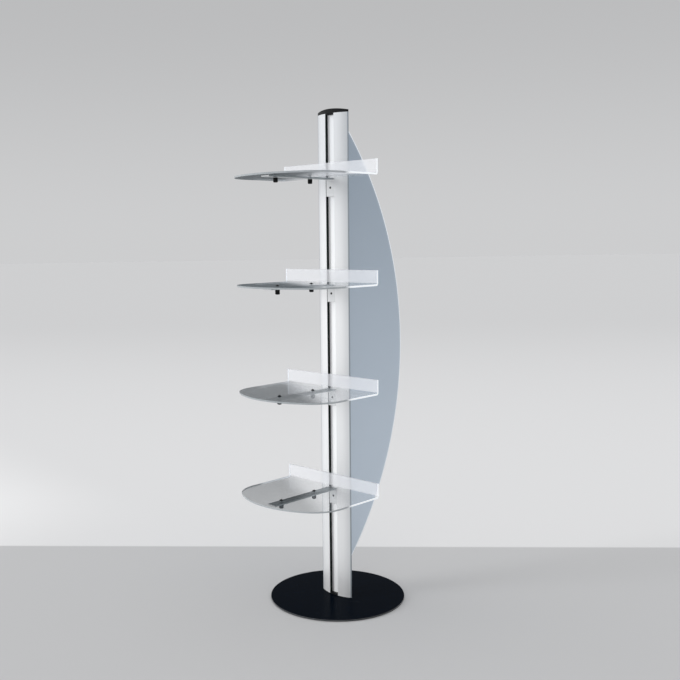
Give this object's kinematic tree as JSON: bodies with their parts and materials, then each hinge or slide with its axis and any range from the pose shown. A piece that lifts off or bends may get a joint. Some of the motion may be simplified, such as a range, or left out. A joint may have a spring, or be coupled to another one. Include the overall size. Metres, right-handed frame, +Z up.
{
  "type": "retail display shelf",
  "caption": "Free-standing display column on a round base, with height-adjustable bent acrylic shelves in its front channel and a bow-shaped panel at its back.",
  "frame": {"origin": "on the floor, in the middle of the round base, which is also the middle of the column's section", "axes": "+Z up; X along the width of the shelves; the shelves reach forwards to -Y and the panel backwards to +Y"},
  "size_m": [0.5049, 0.749, 1.8],
  "materials": {
    "black_steel": "smooth black powder coat, semi-gloss",
    "aluminium": "satin anodised",
    "bracket_steel": "satin zinc-plated flat bar",
    "steel": "zinc-plated",
    "black_screw": "black oxide",
    "black_plastic": "fine-grained moulded black plastic",
    "knob_plastic": "black moulded thermoset, satin",
    "rubber": "matt black rubber",
    "shelf_acrylic": "clear grey acrylic with polished edges",
    "wing_acrylic": "blue-grey satin acrylic with a polished edge"
  },
  "bodies": {
    "stand": {"base_plate": "black_steel", "base_pads": "rubber", "column_screws": "steel", "foot_cap": "black_plastic", "column": "aluminium", "top_cap": "black_plastic", "wing_panel": "wing_acrylic", "wing_gasket": "rubber", "wing_rail": "aluminium", "wing_pins": "steel", "rail_screws": "steel"},
    "carrier_1": {"shelf_1": "shelf_acrylic", "bracket_1": "bracket_steel", "slide_plate_1": "steel", "plate_screws_1": "steel", "lock_screw_1": "black_screw", "shelf_bolts_1": "black_screw", "head_washers_1": "black_plastic", "knob_washers_1": "steel"},
    "inner_knob_body_1": {"inner_knob_1": "knob_plastic"},
    "outer_knob_body_1": {"outer_knob_1": "knob_plastic"},
    "carrier_2": {"shelf_2": "shelf_acrylic", "bracket_2": "bracket_steel", "slide_plate_2": "steel", "plate_screws_2": "steel", "lock_screw_2": "black_screw", "shelf_bolts_2": "black_screw", "head_washers_2": "black_plastic", "knob_washers_2": "steel"},
    "inner_knob_body_2": {"inner_knob_2": "knob_plastic"},
    "outer_knob_body_2": {"outer_knob_2": "knob_plastic"},
    "carrier_3": {"shelf_3": "shelf_acrylic", "bracket_3": "bracket_steel", "slide_plate_3": "steel", "plate_screws_3": "steel", "lock_screw_3": "black_screw", "shelf_bolts_3": "black_screw", "head_washers_3": "black_plastic", "knob_washers_3": "steel"},
    "inner_knob_body_3": {"inner_knob_3": "knob_plastic"},
    "outer_knob_body_3": {"outer_knob_3": "knob_plastic"},
    "carrier_4": {"shelf_4": "shelf_acrylic", "bracket_4": "bracket_steel", "slide_plate_4": "steel", "plate_screws_4": "steel", "lock_screw_4": "black_screw", "shelf_bolts_4": "black_screw", "head_washers_4": "black_plastic", "knob_washers_4": "steel"},
    "inner_knob_body_4": {"inner_knob_4": "knob_plastic"},
    "outer_knob_body_4": {"outer_knob_4": "knob_plastic"}
  },
  "joints": [
    {"name": "shelf_height_1", "type": "slide", "parent": "stand", "child": "carrier_1", "axis": [0, 0, 1], "range_m": [-0.34, 0.15]},
    {"name": "shelf_height_2", "type": "slide", "parent": "stand", "child": "carrier_2", "axis": [0, 0, 1], "range_m": [-0.15, 0.15]},
    {"name": "shelf_height_3", "type": "slide", "parent": "stand", "child": "carrier_3", "axis": [0, 0, 1], "range_m": [-0.15, 0.15]},
    {"name": "shelf_height_4", "type": "slide", "parent": "stand", "child": "carrier_4", "axis": [0, 0, 1], "range_m": [-0.15, 0.18]},
    {"name": "inner_knob_turn_1", "type": "hinge", "parent": "carrier_1", "child": "inner_knob_body_1", "pos_m": [0, -0.1205, 0.433], "axis": [0, 0, 1], "continuous": true},
    {"name": "outer_knob_turn_1", "type": "hinge", "parent": "carrier_1", "child": "outer_knob_body_1", "pos_m": [0, -0.2865, 0.433], "axis": [0, 0, 1], "continuous": true},
    {"name": "inner_knob_turn_2", "type": "hinge", "parent": "carrier_2", "child": "inner_knob_body_2", "pos_m": [0, -0.1205, 0.806], "axis": [0, 0, 1], "continuous": true},
    {"name": "outer_knob_turn_2", "type": "hinge", "parent": "carrier_2", "child": "outer_knob_body_2", "pos_m": [0, -0.2865, 0.806], "axis": [0, 0, 1], "continuous": true},
    {"name": "inner_knob_turn_3", "type": "hinge", "parent": "carrier_3", "child": "inner_knob_body_3", "pos_m": [0, -0.1205, 1.188], "axis": [0, 0, 1], "continuous": true},
    {"name": "outer_knob_turn_3", "type": "hinge", "parent": "carrier_3", "child": "outer_knob_body_3", "pos_m": [0, -0.2865, 1.188], "axis": [0, 0, 1], "continuous": true},
    {"name": "inner_knob_turn_4", "type": "hinge", "parent": "carrier_4", "child": "inner_knob_body_4", "pos_m": [0, -0.1205, 1.565], "axis": [0, 0, 1], "continuous": true},
    {"name": "outer_knob_turn_4", "type": "hinge", "parent": "carrier_4", "child": "outer_knob_body_4", "pos_m": [0, -0.2865, 1.565], "axis": [0, 0, 1], "continuous": true}
  ]
}
